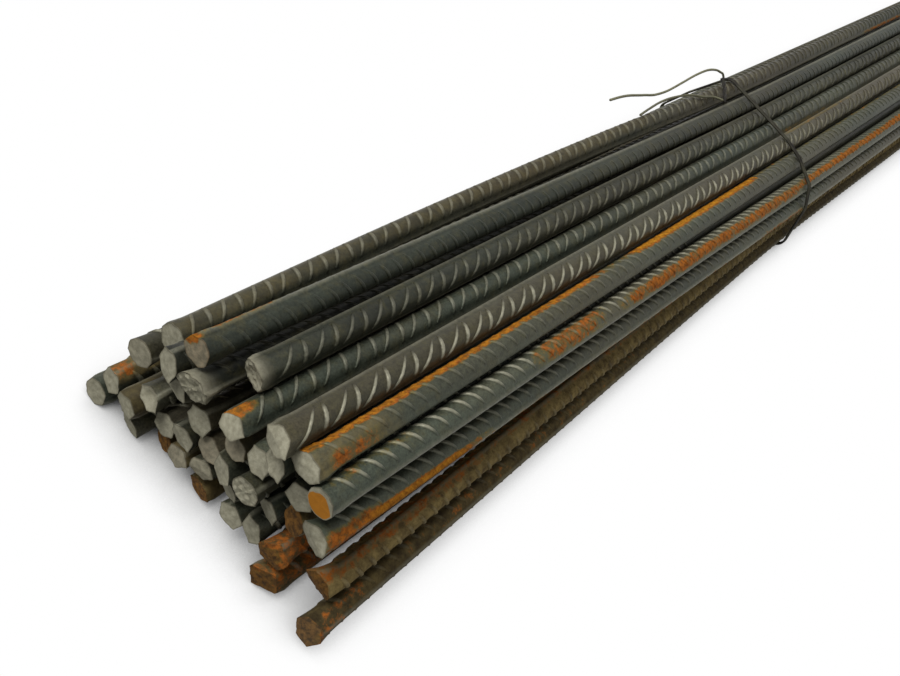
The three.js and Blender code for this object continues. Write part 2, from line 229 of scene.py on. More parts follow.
ANGLE, RADIUS = outline()
COLUMNS = len(ANGLE)
END_RINGS = np.array([0, 0.5, 1.2, 2.2, 3.5, 5.2, 7.5, 10.5, 14.5]) * MM
PATCH_RINGS = np.arange(20, 90, 8) * MM        # finer rings where rust patches are small
FACE_RINGS = np.array([0.9, 0.72, 0.48, 0.24])     # rings of a sheared face, against its rim
print(COLUMNS, "points to a ring")

# %% [markdown]
# ## Sheared ends
# A shear's blades squeeze a bar before it breaks. The end is flattened between them, its sides
# are drawn out to blunt corners, and the broken face is pale and rough, with a ridge or a
# hollow. Each near end is described by a few sizes, and one warp turns the round bar into that
# shape. A Lattice could do the same by hand, but forty of them would be hard to keep in order.

# %% What describes an end
def sheared(axis, long, wide, point=0.2, taper=0.0, sides=6, bent=(0, 0), hollow=0.0, ridge=0.0,
            torn=0.15, dirt=0.0, paint=0.0, rust=0.0, crushed=0.4):
    """One sheared end: its half sizes in mm along and across a direction in degrees.

    point draws its sides out from an ellipse (0) to a lens (1), taper narrows one side, sides
    counts its blunt corners, bent is how far the blade pushed the tip aside (y, z in mm),
    hollow and ridge shape the face, torn is its roughness in mm, dirt and paint its finish,
    rust is how much of the bar's own streaks creeps over the rim, and crushed is how many mm
    of its sides are bare.
    """
    return {"axis": np.radians(axis), "long": long * MM, "wide": wide * MM, "point": point,
            "taper": taper, "sides": sides, "bent": (bent[0] * MM, bent[1] * MM),
            "hollow": hollow * MM, "ridge": ridge, "torn": torn * MM, "dirt": dirt, "paint": paint,
            "rust": rust, "crushed": crushed * MM}


# %% The near ends
NEAR_ENDS = {
    "floor_1": sheared(50, 6.4, 4.9, 0.1, sides=7),
    "floor_2": sheared(20, 6.0, 4.4, 0.4),
    "floor_3": sheared(20, 6.2, 4.8, 0.2, dirt=1.0),
    "floor_4": sheared(175, 6.4, 4.5, 0.2, sides=5, dirt=0.15),
    "floor_5": sheared(0, 6.8, 4.4, 0.35, dirt=1.0),
    "floor_6": sheared(21, 6.7, 5.2, 0.1, sides=5),
    "floor_7": sheared(25, 8.0, 7.6, 0.0, sides=4, bent=(1.4, -0.3), torn=0.25, dirt=1.0, rust=0.9),
    "floor_8": sheared(60, 6.8, 6.3, 0.0, sides=6, ridge=0.15, torn=0.2, dirt=0.9, rust=0.6),
    "second_1": sheared(45, 6.2, 5.9, 0.05, sides=5),
    "second_2": sheared(45, 6.2, 5.9, 0.05, bent=(0.7, -0.6), ridge=0.15),
    "second_3": sheared(22, 6.1, 4.6, 0.2),
    "second_4": sheared(175, 6.4, 5.2, 0.2, sides=5, ridge=0.2, dirt=0.1),
    "second_5": sheared(30, 5.9, 4.6, 0.2),
    "second_6": sheared(44, 6.6, 5.1, 0.1, sides=5),
    "second_7": sheared(20, 7.4, 6.8, 0.0, sides=5, ridge=0.3, torn=0.3, dirt=1.0, rust=1.0),
    "second_8": sheared(10, 7.3, 6.9, 0.0, sides=7, bent=(2.5, -2), ridge=0.35, torn=0.25,
                        dirt=1.0),
    "third_1": sheared(13, 6.3, 4.1, 0.3, hollow=1.6),
    "third_2": sheared(40, 6.7, 4.9, 0.3, ridge=0.2),
    "third_3": sheared(24, 6.5, 4.2, 0.2, ridge=0.15, dirt=0.2),
    "third_4": sheared(43, 6.8, 4.9, 0.25, sides=5),
    "third_5": sheared(44, 7.0, 4.7, 0.5, ridge=0.2),
    "third_6": sheared(44, 6.3, 5.4, 0.1, dirt=1.0),
    "fourth_1": sheared(10, 6.3, 6.1, 0.0, sides=9, torn=0.1, dirt=0.07),
    "fourth_2": sheared(13, 6.9, 5.6, 0.1, bent=(0.4, 1.6), ridge=0.2),
    "fourth_3": sheared(44, 7.1, 5.2, 0.4, ridge=0.15),
    "fourth_4": sheared(7, 6.2, 4.3, 0.3, dirt=0.2),
    "fourth_5": sheared(50, 6.8, 6.1, 0.0, sides=7, torn=0.35),
    "fourth_6": sheared(45, 6.9, 5.7, 0.1, sides=5),
    "fourth_7": sheared(30, 7.4, 8.2, 0.0, sides=7, bent=(1.5, -1.8), ridge=0.25, torn=0.2),
    "upper_1": sheared(50, 8.0, 7.6, 0.0, sides=7, bent=(-1.7, 0.4)),
    "upper_2": sheared(45, 6.9, 4.9, 0.35, ridge=0.15),
    "upper_3": sheared(50, 7.6, 6.8, 0.0, sides=7, torn=0.7, crushed=9),
    "upper_4": sheared(163, 7.1, 4.9, 0.35, sides=5),
    "upper_5": sheared(41, 6.8, 4.6, 0.3),
    "upper_6": sheared(34, 6.9, 5.0, 0.3, hollow=2.6, torn=0.3),
    "upper_7": sheared(20, 6.3, 6.0, 0.0, sides=9, paint=1.0),
    "top_1": sheared(45, 6.5, 5.7, 0.05, taper=0.2, sides=7, dirt=0.38, rust=1.0),
    "top_2": sheared(30, 6.7, 6.2, 0.05, sides=7, hollow=0.9, torn=0.4, crushed=7),
    "top_3": sheared(7, 7.2, 4.9, 0.5, ridge=0.25),
    "top_4": sheared(173, 7.7, 5.3, 0.15, sides=7, bent=(0.7, -0.7), ridge=0.1),
}
print(len(NEAR_ENDS), "near ends described")


# %% Chance, and the far ends
def scatter(i, k):
    """Repeatable number in 0..1 for bar i and draw k: the fractional part of a large sine."""
    return np.modf(np.abs(np.sin(i * 12.9898 + k * 78.233) * 43758.5453))[0]


def far_end(i):
    """A far end of chance shape, for bar i."""
    return sheared(180 * scatter(i, 20), 6.1 + scatter(i, 21), 4.6 + 1.3 * scatter(i, 22),
                   0.4 * scatter(i, 23), sides=5 + int(2.9 * scatter(i, 27)),
                   hollow=1.5 * scatter(i, 24) - 0.5, ridge=0.3 * scatter(i, 25),
                   dirt=0.3 * scatter(i, 26))


# %% End warp
SQUEEZE_LENGTH = 12 * MM
CORNER_SWELL = 1.06        # makes up for what a polygon's straight sides take off


def squeeze(d, y, z, end):
    """Section point (y, z) at distance d from the end, pressed into the end's outline.

    With e along the end's axis, p across it, r the point's radius, s = p / r and n corners:
    the pressed point is (e long / R, p wide / R |s|^point (1 + taper e / r)), times
    CORNER_SWELL cos(pi / n) / cos(a mod 2 pi / n - pi / n) for the point's angle a. The result
    lies between the round point and the pressed one by w = (1 - d / L)^1.5, and the tip is
    bent aside by w bent.
    """
    w = np.clip(1 - d / SQUEEZE_LENGTH, 0, 1) ** 1.5
    c, s = np.cos(end["axis"]), np.sin(end["axis"])
    e, p = y * c + z * s, -y * s + z * c
    r = np.maximum(np.hypot(e, p), 1e-9)
    half = np.pi / end["sides"]
    corner = CORNER_SWELL * np.cos(half) / np.cos(np.arctan2(p, e) % (2 * half) - half)
    pressed_e = e * end["long"] / CORE_R * corner
    lens = np.abs(p / r) ** end["point"] * (1 + end["taper"] * e / r)
    pressed_p = p * end["wide"] / CORE_R * lens * corner
    e, p = e + w * (pressed_e - e), p + w * (pressed_p - p)
    return e * c - p * s + w * end["bent"][0], e * s + p * c + w * end["bent"][1]


# %% Depth of a broken face
# waves of a torn face: radians per metre along and across its axis, phase and share
RIPPLES = ((1300, 0, 5, 1), (600, 1700, 9, 1), (2300, -900, 0, 1), (5100, 4300, 3, 0.6))


def face_depth(y, z, end, slant, phase):
    """How far the face lies behind the end.

    It is slant . (y, z) + ridge |p| + hollow (1 - 1.6 (r / R)^2) + 0.45 torn (sum of ripples).
    """
    c, s = np.cos(end["axis"]), np.sin(end["axis"])
    e, p = y * c + z * s, -y * s + z * c
    hollow = end["hollow"] * np.clip(1 - 1.6 * (y ** 2 + z ** 2) / CORE_R ** 2, 0, 1)
    ripple = sum(share * np.sin(e * along + p * across + turn * phase)
                 for along, across, turn, share in RIPPLES)
    sloping = slant[0] * y + slant[1] * z + end["ridge"] * np.abs(p)
    return sloping + hollow + end["torn"] * 0.45 * ripple


# %% [markdown]
# ## Rust and dirt, by place
# Rain runs along the upper side of a bar and down into the gaps, so rust lies in long narrow
# streaks. Each streak is a stretch of length and a stretch of angle round the bar. A painted
# image could hold them, but a number at each point needs no image and fits any mesh.

# %% Streaks
WEAR, CUT, ORANGE, BROWN = range(4)        # channels of the state attribute
SOFT_ANGLE = np.radians(14)                # a streak's sides fade over this


def streak(start, stop, angle, half, strength=1.0, channel=ORANGE, soft=12.0):
    """Rust from start to stop along the bar (mm), within half degrees of an angle round it."""
    return {"start": start * MM, "stop": stop * MM, "soft": soft * MM, "strength": strength,
            "channel": channel, "angle": np.radians(angle), "half": np.radians(half)}


STREAKS = {
    "top_4": [streak(-1002, -775, 34, 34, 0.82), streak(-986, -956, 138, 32, 0.5, soft=10),
              streak(-1000, -948, 120, 45, 0.45, BROWN), streak(-775, -735, 36, 30, 0.35),
              streak(-735, -552, 38, 40), streak(-552, -100, 34, 20, 0.25)],
    "upper_7": [streak(-852, -782, 105, 50, 0.5), streak(-760, -495, 118, 34, 0.6),
                streak(-495, -150, 104, 26, 0.62), streak(-990, -940, 60, 30, 0.25)],
    "fourth_7": [streak(-994, -960, 142, 28, 0.6), streak(-990, -938, 158, 24, 0.5),
                 streak(-970, -895, 165, 26, 0.85), streak(-895, -560, 178, 17, 0.42),
                 streak(-560, -480, 172, 20, 0.6)],
    "upper_4": [streak(-1000, -984, 50, 36, 0.7, soft=4), streak(-470, -370, 180, 30, 0.32),
                streak(-470, -370, 180, 30, 0.5, BROWN)],
    "top_3": [streak(-470, -330, 30, 24, 0.3), streak(-470, -330, 30, 24, 0.5, BROWN)],
    "top_1": [streak(-1004, -992, 36, 36, 0.86, soft=4), streak(-992, -948, 52, 11, 0.5)],
    "second_1": [streak(-1000, -980, 80, 50, 0.48, soft=6),
                 streak(-1000, -962, 80, 70, 0.7, BROWN)],
    "upper_1": [streak(-200, 60, 190, 40, 0.5), streak(-1000, -600, 70, 60, 0.25, BROWN)],
    "second_8": [streak(-1000, -880, 60, 60, 0.44), streak(-880, -500, 60, 40, 0.38)],
    "floor_8": [streak(-1000, -960, 150, 80, 0.35), streak(-940, -700, 100, 40, 0.25)],
    "second_7": [streak(-1010, -900, 110, 90, 0.52)],
    "floor_7": [streak(-1010, -900, 110, 90, 0.5)],
}
BROWN_ALL_OVER = {"second_8", "floor_8", "second_7", "floor_7", "third_6", "floor_3", "floor_5"}
BROWN_SIDES = {"floor_4": 0.6, "fourth_4": 0.5, "second_2": 0.4}
print(sum(map(len, STREAKS.values())), "streaks on", len(STREAKS), "bars")


# %% Stains at a place
def chance_streaks(i):
    """Streaks of chance length, place and strength on the far half of bar i."""
    marks = []
    for k in range(3):
        spot, length, angle, half, strength = (scatter(i, 60 + 3 * m + k) for m in range(5))
        start = 1150 * spot - 100
        marks.append(streak(start, start + 60 + 300 * length ** 2, 200 * angle, 14 + 26 * half,
                            0.62 * strength))
    return marks


def stains(short, x, angle):
    """Orange and brown amounts at places (x, angle): the strongest streak at each place.

    A streak fades as smooth(a) smooth(b), where a and b count down from 1 over its soft
    borders and smooth(t) = t^2 (3 - 2 t).
    """
    amount = np.zeros(x.shape + (4,))
    for mark in STREAKS.get(short, []) + chance_streaks(bars[short]["index"]):
        off = np.abs((angle - mark["angle"] + np.pi) % (2 * np.pi) - np.pi)
        side = np.clip((mark["half"] - off) / SOFT_ANGLE + 0.5, 0, 1)
        run = np.clip(np.minimum(x - mark["start"], mark["stop"] - x) / mark["soft"] + 0.5, 0, 1)
        value = mark["strength"] * side ** 2 * (3 - 2 * side) * run ** 2 * (3 - 2 * run)
        amount[..., mark["channel"]] = np.maximum(amount[..., mark["channel"]], value)
    brown = 1.0 if short in BROWN_ALL_OVER else BROWN_SIDES.get(short, 0)
    amount[..., BROWN] = np.maximum(amount[..., BROWN], brown)
    return amount


# %% [markdown]
# ## Slanted ribs
# The grip ribs are crescents: highest in the middle of a flank and gone where they meet the
# lengthwise ribs. Each rib is its own closed shell that sits a little way into the core.
# A Boolean union of hundreds of ribs would be slow, and the seam is hidden by the core.

# %% How each bar is ribbed
def ribbing(lean=(0.6, 0.6), pitch=8.4, worn=1.0, seam=0.4, height=1.0):
    """Ribs of one bar: slants of even and odd ribs, spacing in mm, how bright they and the
    lengthwise ribs are worn, and their height against a new rib's."""
    return {"lean": lean, "pitch": pitch * MM, "worn": worn, "seam": seam, "height": height}


PLAIN = ribbing(worn=0.8)
RIBBINGS = {
    "top_3": ribbing((-0.41, -1.24), 9.1), "upper_4": ribbing((-0.38, -0.95), 9.1, 0.5),
    "top_2": ribbing((-0.38, -0.95), 9.1, 0.4), "upper_1": ribbing((-0.25, -0.67), 8.3, 0.5),
    "upper_5": ribbing((-0.4, -1.1), 8.6), "fourth_2": ribbing((-0.4, -1.1), 8.6),
    "fourth_4": ribbing((-0.4, -1.0), 8.6), "top_1": ribbing(worn=0.1, height=0.5),
    "top_4": ribbing(worn=0.35, seam=0, height=0.8), "upper_3": ribbing(worn=0.1, height=0.6),
    "upper_7": ribbing(worn=0.9), "fourth_7": ribbing(worn=0.6), "second_8": ribbing(worn=0.35),
    "floor_8": ribbing(worn=0.3),
}
print(len(RIBBINGS), "bars differ from the plain one in their ribs")

# %% Shells of the ribs
RIB_HEIGHT = 0.85 * MM
RIB_FOOT, RIB_CREST = 1.65 * MM, 0.65 * MM     # half widths in the middle of a rib
RIB_SINK = 0.3 * MM                            # its foot lies this deep in the core
RIB_TIP_SINK = 0.08 * MM                       # and the crest of its tips this deep
RIB_TIP = 0.35                                 # width of its tips against its middle
RIB_REACH = np.radians(72)                     # from its middle to a tip, round the bar
RIB_POINTS = 8


def rib_shells(x, side, bar, lean, height):
    """All ribs on one flank, as (n, RIB_POINTS, 4) arrays of x, angle, radius, wear, and faces.

    A rib's section has four corners, two at its foot and two at its crest.
    Angle a = roll + side 180 + 90 + t reach; x = xi + lean R t reach; rise = height (1 - t^2)^0.8.
    Hands and neighbours rub only the highest part: wear = 1 - (t / 0.75)^2.
    """
    t = np.linspace(-1, 1, RIB_POINTS)[None, :, None]
    crest = np.clip(1 - t ** 2, 0, 1) ** 0.8
    across = np.array([-1, -RIB_CREST / RIB_FOOT, RIB_CREST / RIB_FOOT, 1]) * RIB_FOOT
    up = np.array([0, 1, 1, 0])
    px = (x[:, None, None] + lean[:, None, None] * CORE_R * t * RIB_REACH
          + across * (RIB_TIP + (1 - RIB_TIP) * crest))
    angle = np.broadcast_to(bar["roll"] + side * np.pi + np.pi / 2 + t * RIB_REACH, px.shape)
    radius = CORE_R - RIB_SINK + up * (RIB_SINK - RIB_TIP_SINK + height * crest)
    radius = np.broadcast_to(radius, px.shape)
    wear = np.broadcast_to(up * np.clip(1 - (t / 0.75) ** 2, 0, 1), px.shape)
    caps = [[[3, 2, 1, 0]], [np.arange(4) + (RIB_POINTS - 1) * 4]]
    shell = np.concatenate([tube_faces(RIB_POINTS, 4), *caps])
    faces = (shell[None] + (np.arange(len(x)) * RIB_POINTS * 4)[:, None, None]).reshape(-1, 4)
    return px, angle, radius, wear, faces


# %% [markdown]
# ## One whole bar
# Core, two faces and ribs become one mesh. Bars on the outside of the bundle have ribs from
# end to end. Bars inside it have them near their ends, where they can be seen. The parts could
# stay objects of their own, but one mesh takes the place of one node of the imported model.

# %% Placing points on a bar
SEAM_FADE = 4 * MM         # the lengthwise ribs are pressed flat this close to the end
FAR_PHASE = 50             # tears the far face in a pattern of its own


def place(bar, px, angle, radius):
    """World points of (x, angle, radius) on a bar, its two ends squeezed and slanted.

    The seam's height over the core fades as 1 - d / SEAM_FADE towards each end.
    """
    near, far = bar["near"], bar["far"]
    from_near, from_far = px - bar["first"], bar["last"] - px
    flat = np.clip(1 - np.minimum(from_near, from_far) / SEAM_FADE, 0, 1)
    radius = radius - flat * np.maximum(radius - CORE_R, 0)
    y, z = radius * np.cos(angle), radius * np.sin(angle)
    y, z = squeeze(from_near, y, z, near)
    y, z = squeeze(from_far, y, z, far)
    w_near = np.clip(1 - from_near / SQUEEZE_LENGTH, 0, 1)
    w_far = np.clip(1 - from_far / SQUEEZE_LENGTH, 0, 1)
    moved = px + w_near * face_depth(y, z, near, bar["slants"][0], bar["index"])
    moved = moved - w_far * face_depth(y, z, far, -bar["slants"][1], bar["index"] + FAR_PHASE)
    middle = bar["at"](px)
    return np.stack([moved, middle[..., 0] + y, np.maximum(middle[..., 1] + z, 0)], axis=-1)


# %% The core of a bar
OUTSIDE = {"floor_1", "second_1", "fourth_1", "upper_1", "upper_2", "top_1", "top_2", "upper_4",
           "top_3", "top_4", "upper_7", "fourth_7", "second_8", "floor_8", "third_6"}
OUTER_STEP, INNER_STEP = 20 * MM, 40 * MM      # between a core's rings, away from its ends
EVEN_FROM, EVEN_TO = 100 * MM, 30 * MM         # such rings keep this far from the ends
print(len(OUTSIDE), "bars lie on the outside")


def core_part(short, bar):
    """The tube: its points, its quads and the state (wear, cut, orange, brown) of each point.

    The lengthwise ribs are worn by their kind, and the crushed sides are a little bright.
    """
    first, last = bar["first"], bar["last"]
    step = OUTER_STEP if short in OUTSIDE else INNER_STEP
    between = np.linspace(first + EVEN_FROM, last - EVEN_TO, int((last - first) / step))
    x = np.concatenate([first + END_RINGS, first + PATCH_RINGS, between, (last - END_RINGS)[::-1]])
    px = np.broadcast_to(x[:, None], (len(x), COLUMNS))
    angle = np.broadcast_to(bar["roll"] + ANGLE, px.shape)
    points = place(bar, px, angle, np.broadcast_to(RADIUS, px.shape))
    state = stains(short, px, angle)
    state[..., WEAR] = (RADIUS > CORE_R) * RIBBINGS.get(short, PLAIN)["seam"]
    state[..., CUT] = np.clip(1 - np.minimum((px - first) / bar["near"]["crushed"],
                                             (last - px) / bar["far"]["crushed"]), 0, 1)
    state[..., WEAR] += 0.1 * state[..., CUT]
    state[[0, -1], :, WEAR] = 0
    return points.reshape(-1, 3), tube_faces(len(x), COLUMNS), state.reshape(-1, 4)


# %% A sheared face
def face_part(short, at_far, rim, start):
    """One sheared face: rings that shrink from the rim to a middle point, numbered from start.

    Its state is cut = 1 and wear = how far a point is from the rim, 0..1. A dab of paint
    reaches the rim on its lower side, where wear is raised by up to a half. Rust that creeps
    over the rim fades as 3 r - 1.2 towards the middle, for r from 1 at the rim to 0.
    """
    bar = bars[short]
    end_x = bar["last"] if at_far else bar["first"]
    shrink = np.append(FACE_RINGS, 0.0)[:, None] + np.zeros(COLUMNS)
    angle = np.broadcast_to(bar["roll"] + ANGLE, shrink.shape)
    disc = place(bar, np.full(angle.shape, end_x), angle, CORE_R * shrink)
    points = np.concatenate([disc[:-1].reshape(-1, 3), disc[-1].mean(axis=0)[None]])
    n = len(FACE_RINGS)
    ids = np.concatenate([rim[None], start + np.arange(n * COLUMNS).reshape(n, COLUMNS)])
    a, b = ids, np.roll(ids, -1, axis=1)
    quads = np.stack([b[:-1], a[:-1], a[1:], b[1:]], axis=-1).reshape(-1, 4)
    fan = np.stack([b[-1], a[-1], np.full(COLUMNS, start + n * COLUMNS)], axis=-1)
    creep = np.clip(3 * shrink - 1.2, 0, 1) * (bar["far"] if at_far else bar["near"])["rust"]
    state = stains(short, np.full(angle.shape, end_x + MM), angle) * creep[..., None]
    state = np.concatenate([state[:-1].reshape(-1, 4), np.zeros((1, 4))])
    state[:, CUT] = 1
    low = 0.5 * np.clip(0.45 - np.sin(angle), 0, 1) * (0 if at_far else bar["near"]["paint"])
    state[:, WEAR] = np.append((1 - shrink + low)[:-1].ravel(), 1)
    return points, (quads[:, ::-1], fan[:, ::-1]) if at_far else (quads, fan), state


# %% The ribs on a flank
SEEN_END = 330 * MM                            # a bar inside the bundle has ribs this far in
FIRST_RIB, LAST_RIB = 7 * MM, 9 * MM           # the ribs start and stop this far from the ends
HANDLED_TO, HANDLED_FADE = -0.25, 0.35         # m: up to this x, wear fades over this length
LEAST_HANDLED = 0.3                            # and keeps this share of itself


def rib_part(short, bar, side, start):
    """The ribs on one flank: points, quads numbered from start, and state.

    They are handled most at the near ends, so their wear counts by the share
    (HANDLED_TO - x) / HANDLED_FADE, kept between LEAST_HANDLED and 1.
    """
    kind, first, last = RIBBINGS.get(short, PLAIN), bar["first"], bar["last"]
    offset = kind["pitch"] * scatter(bar["index"], 30 + side)
    x = np.arange(first + FIRST_RIB + offset, last - LAST_RIB, kind["pitch"])
    if short not in OUTSIDE:
        x = x[(x < first + SEEN_END) | (x > last - SEEN_END)]
    lean = np.where(np.arange(len(x)) % 2, *kind["lean"])
    px, angle, radius, wear, shells = rib_shells(x, side, bar, lean, RIB_HEIGHT * kind["height"])
    state = stains(short, px, angle)
    handled = np.clip((HANDLED_TO - px) / HANDLED_FADE, LEAST_HANDLED, 1)
    state[..., WEAR] = wear * kind["worn"] * handled
    return place(bar, px, angle, radius).reshape(-1, 3), shells + start, state.reshape(-1, 4)


# %% Tones of the bars
# how pale a bar's scale or crust is (0..1), painted light or shade on two bars, and the scale's
# tint, bluish (0) to brownish (1)
TONES_AND_PAINTED_LIGHT = {"upper_1": (0.32, 0.65), "top_1": (0.25, 0.4), "top_2": (0.28, 0.6),
         "upper_4": (0.46, 0.2), "top_3": (0.45, 0.75), "top_4": (0.64, 0.3),
         "upper_7": (0.7, 0.35), "fourth_7": (0.6, 0.45), "fourth_2": (0.5, 0.4),
         # upper_3 at 0 is painted shade for the deep gap behind the near ends; second_8 at 1 is
         # painted light where the bundle shades it from the lamp
         "upper_3": (0.0, 0.5), "second_8": (1.0, 0.5), "floor_8": (0.06, 0.4),
         "second_7": (0.25, 0.5), "floor_7": (0.25, 0.5), "floor_3": (0.2, 0.5),
         "floor_5": (0.2, 0.5)}
print(len(TONES_AND_PAINTED_LIGHT), "bars have a tone of their own")


def finish_marks(short, bar, x):
    """Tone of the skin (painted light or shade on two bars), dirt and paint of the nearer face, and
    tint, at places x on the bar.

    A bar without a tone of its own gets one by chance.
    """
    marks = np.ones((len(x), 4))
    chance = (0.2 + 0.45 * scatter(bar["index"], 40), 0.2 + 0.6 * scatter(bar["index"], 41))
    marks[:, 0], marks[:, 3] = TONES_AND_PAINTED_LIGHT.get(short, chance)
    marks[:, 1] = np.where(x > 0, bar["far"]["dirt"], bar["near"]["dirt"])
    marks[:, 2] = np.where(x > 0, 0, bar["near"]["paint"])
    return marks


# %% One bar
TORN_FACETS = 0.3 * MM     # faces torn more than this keep their facets


def make_bar(short, material):
    """Core, faces and ribs of one bar joined into one object; the rims of its faces are sharp."""
    bar = bars[short]
    parts = [core_part(short, bar)]
    count = len(parts[0][0])
    rims = np.concatenate([np.arange(COLUMNS), np.arange(count - COLUMNS, count)])
    faces, flat = [parts[0][1]], []
    for at_far in (False, True):
        parts.append(face_part(short, at_far, rims[COLUMNS:] if at_far else rims[:COLUMNS], count))
        if bar["far" if at_far else "near"]["torn"] > TORN_FACETS:
            flat += [len(faces), len(faces) + 1]
        faces += parts[-1][1]
        count += len(parts[-1][0])
    for side in (0, 1):
        parts.append(rib_part(short, bar, side, count))
        faces.append(parts[-1][1])
        count += len(parts[-1][0])
    points = np.concatenate([part[0] for part in parts])
    colours = {"state": np.concatenate([part[2] for part in parts]),
               "finish": finish_marks(short, bar, points[:, 0])}
    return build(short + "_bar", points, faces, colours, material, rims, flat)


# %% [markdown]
# ## Node helpers
# Colours are written as the sRGB hex values that a colour picker shows, and one function turns
# them to the linear values that a shader works with. A second one adds a node with its
# settings and inputs, so that each material below reads as a short recipe.

# %% Colours
def srgb(code):
    """Linear RGBA of an sRGB hex: c / 12.92 below 0.04045, else ((c + 0.055) / 1.055)^2.4."""
    c = np.array([int(code[k:k + 2], 16) for k in (1, 3, 5)]) / 255
    return (*np.where(c <= 0.04045, c / 12.92, ((c + 0.055) / 1.055) ** 2.4), 1.0)


# %% Nodes
RGBA, FLOAT = {"data_type": "RGBA"}, {"data_type": "FLOAT"}
FILTER = {"data_type": "RGBA", "blend_type": "MULTIPLY"}      # one colour seen through another
TIMES, PLUS, MOST = {"operation": "MULTIPLY"}, {"operation": "ADD"}, {"operation": "MAXIMUM"}
TIMES_PLUS, PLUS_TO_ONE = {"operation": "MULTIPLY_ADD"}, {"operation": "ADD", "use_clamp": True}
# sockets of a Mix node, which has several of one name: its factor, two floats, two colours,
# and the output with the mixed colour
SHARE, LOW, HIGH, FROM, TO, OUT = 0, 2, 3, 6, 7, 2


def add(tree, kind, settings, inputs, output=0):
    """A node of a kind with its settings; an input is a value or another node's output.

    It returns one of the node's outputs, by number or by name.
    """
    node = tree.nodes.new("ShaderNode" + kind)
    for key, value in settings.items():
        setattr(node, key, value)
    for key, value in inputs.items():
        if isinstance(value, bpy.types.NodeSocket):
            tree.links.new(value, node.inputs[key])
        else:
            node.inputs[key].default_value = value
    return node.outputs[output]


def new_material(name):
    """An empty recipe: the material, its node tree and its Principled shader."""
    material = bpy.data.materials.new(name)
    material.use_nodes = True
    return material, material.node_tree, material.node_tree.nodes["Principled BSDF"]


# %% [markdown]
# ## Hot-rolled steel
# A bar comes off the rolling mill with a skin of mill scale: grey to olive, dull, with a
# faint sheen. Handling wears the rib crests bright. Where scale flakes off, the steel rusts:
# first yellow and orange dust, then a hard brown crust. A sheared face is bare, pale and rough.
# Each could be a material of its own, but they run into each other on every bar, so one
# material mixes them by the numbers that the points carry.

# %% Patterns in the steel
def patterns(tree):
    """Noise at five real sizes: a Noise node of scale s has blotches about 1 / s m across.

    Its values lie mostly between 0.3 and 0.7, so each use below spans a part of that.
    """
    where = add(tree, "TexCoord", {}, {}, "Object")
    along = add(tree, "Mapping", {}, {"Vector": where, "Scale": (0.2, 1, 1)})
    kinds = {
        # 20 mm across and 100 mm long, where the scale cooled faster or slower
        "cloud": {"Vector": along, "Scale": 50, "Detail": 4, "Roughness": 0.6},
        # 6 mm patches where rust took hold, and its 2.4 mm crumbs
        "blotch": {"Vector": where, "Scale": 160, "Detail": 5, "Roughness": 0.7},
        "crumb": {"Vector": where, "Scale": 420, "Detail": 4, "Roughness": 0.65},
        # the scale's own grain is finer, and is drawn 0.8 mm across so that it shows
        "grain": {"Vector": where, "Scale": 1200, "Detail": 2},
        # drifts of bluish and brownish scale, 50 mm across and 250 mm long
        "drift": {"Vector": along, "Scale": 20, "Detail": 3},
    }
    return {name: add(tree, "TexNoise", {}, inputs) for name, inputs in kinds.items()}


# %% Mill scale and wear
def scale_and_wear(tree, noise, wear, tone, tint, brown):
    """Colour of mill scale or brown crust, paler with a higher tone (painted light or shade on two
    bars), bright on worn crests.
    """
    cloud = add(tree, "MapRange", {}, {"Value": noise["cloud"], "From Min": 0.3, "From Max": 0.7,
                                       "To Min": -0.18, "To Max": 0.18})
    pale = add(tree, "Math", PLUS_TO_ONE, {0: tone, 1: cloud})
    scale = add(tree, "Mix", RGBA, {SHARE: pale, FROM: srgb("#20211b"), TO: srgb("#5e5f4e")}, OUT)
    drift = add(tree, "MapRange", {}, {"Value": noise["drift"], "From Min": 0.38, "From Max": 0.62,
                                       "To Min": -0.35, "To Max": 0.35})
    tint = add(tree, "Math", PLUS_TO_ONE, {0: tint, 1: drift})
    tint = add(tree, "Mix", RGBA, {SHARE: tint, FROM: srgb("#e4f2fa"), TO: srgb("#ffebe0")}, OUT)
    scale = add(tree, "Mix", FILTER, {SHARE: 1.0, FROM: scale, TO: tint}, OUT)
    olive = add(tree, "MapRange", {}, {"Value": noise["blotch"], "From Min": 0.48, "From Max": 0.75,
                                       "To Max": 0.65})
    scale = add(tree, "Mix", RGBA, {SHARE: olive, FROM: scale, TO: srgb("#4b472f")}, OUT)
    flecks = add(tree, "Math", PLUS, {0: noise["crumb"], 1: noise["grain"]})
    flecks = add(tree, "MapRange", {}, {"Value": flecks, "From Min": 0.7, "From Max": 1.3,
                                        "To Min": 0.6, "To Max": 1.4})
    scale = add(tree, "Mix", FILTER, {SHARE: 1.0, FROM: scale, TO: flecks}, OUT)
    crumbs = add(tree, "MapRange", {}, {"Value": noise["blotch"], "From Min": 0.35,
                                        "From Max": 0.65})
    crust = add(tree, "Mix", RGBA, {SHARE: crumbs, FROM: srgb("#3b301b"), TO: srgb("#6f603b")}, OUT)
    # a high tone lifts the crust; on second_8 this lift is painted light
    lift = add(tree, "MapRange", {}, {"Value": pale, "To Min": 0.6, "To Max": 2.1})
    crust = add(tree, "Mix", FILTER, {SHARE: 1.0, FROM: crust, TO: lift}, OUT)
    skin = add(tree, "Mix", RGBA, {SHARE: brown, FROM: scale, TO: crust}, OUT)
    rubbed = add(tree, "Math", {"operation": "POWER"}, {0: wear, 1: 1.3})
    bright = add(tree, "MapRange", {}, {"Value": noise["crumb"], "From Min": 0.3, "From Max": 0.6,
                                        "To Min": 0.5, "To Max": 1.0})
    bright = add(tree, "Math", TIMES, {0: rubbed, 1: bright})
    return add(tree, "Mix", RGBA, {SHARE: bright, FROM: skin, TO: srgb("#a09d89")}, OUT)


